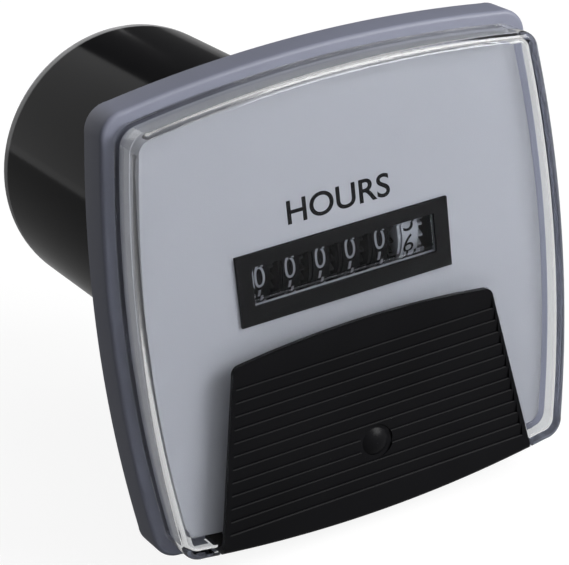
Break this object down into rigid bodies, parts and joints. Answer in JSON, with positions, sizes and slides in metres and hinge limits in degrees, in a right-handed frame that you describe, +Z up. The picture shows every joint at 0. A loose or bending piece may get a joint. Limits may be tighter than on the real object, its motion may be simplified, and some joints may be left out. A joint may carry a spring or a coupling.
{
  "type": "hour meter",
  "caption": "Panel-mounted hour meter with a bowed square base frame, clear cover, ribbed lower mask, geared wheel counter behind a window and a round case behind the panel.",
  "frame": {"origin": "on the axis of the round case, in the plane of the panel at the back of the base frame", "axes": "front faces -Y, the case runs along +Y, +Z is up"},
  "size_m": [0.112, 0.1355, 0.112],
  "materials": {
    "base_grey": "satin moulded",
    "case_black": "satin",
    "clear": "clear plastic",
    "mask_black": "satin",
    "dial_paint": "matt",
    "bezel_black": "matt",
    "wheel_black": "matt",
    "wheel_white": "matt",
    "steel": "plated",
    "brass": "turned"
  },
  "bodies": {
    "case": {"base_frame": "base_grey", "barrel_case": "case_black", "clear_cover": "clear", "ribbed_mask": "mask_black", "plug_button": "mask_black", "dial_plate": "dial_paint", "counter_bezel": "bezel_black", "window_pane": "clear", "counter_frame": "steel", "wheel_shaft": "steel", "pinion_shaft": "steel", "motor_can": "steel", "stud_1": "steel", "stud_2": "steel", "stud_3": "steel", "stud_4": "steel", "terminal_1": "brass", "terminal_2": "brass", "washer_1": "steel", "washer_2": "steel", "nut_1": "brass", "nut_2": "brass"},
    "turn_wheel_1": {"wheel_1": "wheel_black"},
    "turn_wheel_2": {"wheel_2": "wheel_black"},
    "turn_wheel_3": {"wheel_3": "wheel_black"},
    "turn_wheel_4": {"wheel_4": "wheel_black"},
    "turn_wheel_5": {"wheel_5": "wheel_black"},
    "turn_wheel_6": {"wheel_6": "wheel_white"},
    "turn_pinion_1": {"pinion_1": "wheel_white"},
    "turn_pinion_2": {"pinion_2": "wheel_white"},
    "turn_pinion_3": {"pinion_3": "wheel_white"},
    "turn_pinion_4": {"pinion_4": "wheel_white"},
    "turn_pinion_5": {"pinion_5": "wheel_white"},
    "arbor": {"drive_arbor": "brass"},
    "rotor": {"motor_pinion": "brass"}
  },
  "joints": [
    {"name": "wheel_1_spin", "type": "hinge", "parent": "case", "child": "turn_wheel_1", "pos_m": [0, -0.00023, 0.0082], "axis": [-1, 0, 0], "continuous": true},
    {"name": "wheel_2_spin", "type": "hinge", "parent": "case", "child": "turn_wheel_2", "pos_m": [0, -0.00023, 0.0082], "axis": [-1, 0, 0], "continuous": true},
    {"name": "wheel_3_spin", "type": "hinge", "parent": "case", "child": "turn_wheel_3", "pos_m": [0, -0.00023, 0.0082], "axis": [-1, 0, 0], "continuous": true},
    {"name": "wheel_4_spin", "type": "hinge", "parent": "case", "child": "turn_wheel_4", "pos_m": [0, -0.00023, 0.0082], "axis": [-1, 0, 0], "continuous": true},
    {"name": "wheel_5_spin", "type": "hinge", "parent": "case", "child": "turn_wheel_5", "pos_m": [0, -0.00023, 0.0082], "axis": [-1, 0, 0], "continuous": true},
    {"name": "wheel_6_spin", "type": "hinge", "parent": "case", "child": "turn_wheel_6", "pos_m": [0, -0.00023, 0.0082], "axis": [-1, 0, 0], "continuous": true},
    {"name": "pinion_1_spin", "type": "hinge", "parent": "case", "child": "turn_pinion_1", "pos_m": [0, -0.00229, -0.00348], "axis": [-1, 0, 0], "continuous": true},
    {"name": "pinion_2_spin", "type": "hinge", "parent": "case", "child": "turn_pinion_2", "pos_m": [0, -0.00229, -0.00348], "axis": [-1, 0, 0], "continuous": true},
    {"name": "pinion_3_spin", "type": "hinge", "parent": "case", "child": "turn_pinion_3", "pos_m": [0, -0.00229, -0.00348], "axis": [-1, 0, 0], "continuous": true},
    {"name": "pinion_4_spin", "type": "hinge", "parent": "case", "child": "turn_pinion_4", "pos_m": [0, -0.00229, -0.00348], "axis": [-1, 0, 0], "continuous": true},
    {"name": "pinion_5_spin", "type": "hinge", "parent": "case", "child": "turn_pinion_5", "pos_m": [0, -0.00229, -0.00348], "axis": [-1, 0, 0], "continuous": true},
    {"name": "arbor_spin", "type": "hinge", "parent": "case", "child": "arbor", "pos_m": [0, 0.01052, 0.00319], "axis": [-1, 0, 0], "continuous": true},
    {"name": "motor_spin", "type": "hinge", "parent": "case", "child": "rotor", "pos_m": [0, 0.02657, 0.00319], "axis": [-1, 0, 0], "continuous": true}
  ],
  "couplings": [
    {"joint": "wheel_1_spin", "follows": "wheel_6_spin", "ratio": 0.00001},
    {"joint": "pinion_1_spin", "follows": "wheel_6_spin", "ratio": -0.000025},
    {"joint": "wheel_2_spin", "follows": "wheel_6_spin", "ratio": 0.0001},
    {"joint": "pinion_2_spin", "follows": "wheel_6_spin", "ratio": -0.00025},
    {"joint": "wheel_3_spin", "follows": "wheel_6_spin", "ratio": 0.001},
    {"joint": "pinion_3_spin", "follows": "wheel_6_spin", "ratio": -0.0025},
    {"joint": "wheel_4_spin", "follows": "wheel_6_spin", "ratio": 0.01},
    {"joint": "pinion_4_spin", "follows": "wheel_6_spin", "ratio": -0.025},
    {"joint": "wheel_5_spin", "follows": "wheel_6_spin", "ratio": 0.1},
    {"joint": "pinion_5_spin", "follows": "wheel_6_spin", "ratio": -0.25},
    {"joint": "arbor_spin", "follows": "wheel_6_spin", "ratio": -2.5},
    {"joint": "motor_spin", "follows": "wheel_6_spin", "ratio": 9.375}
  ]
}
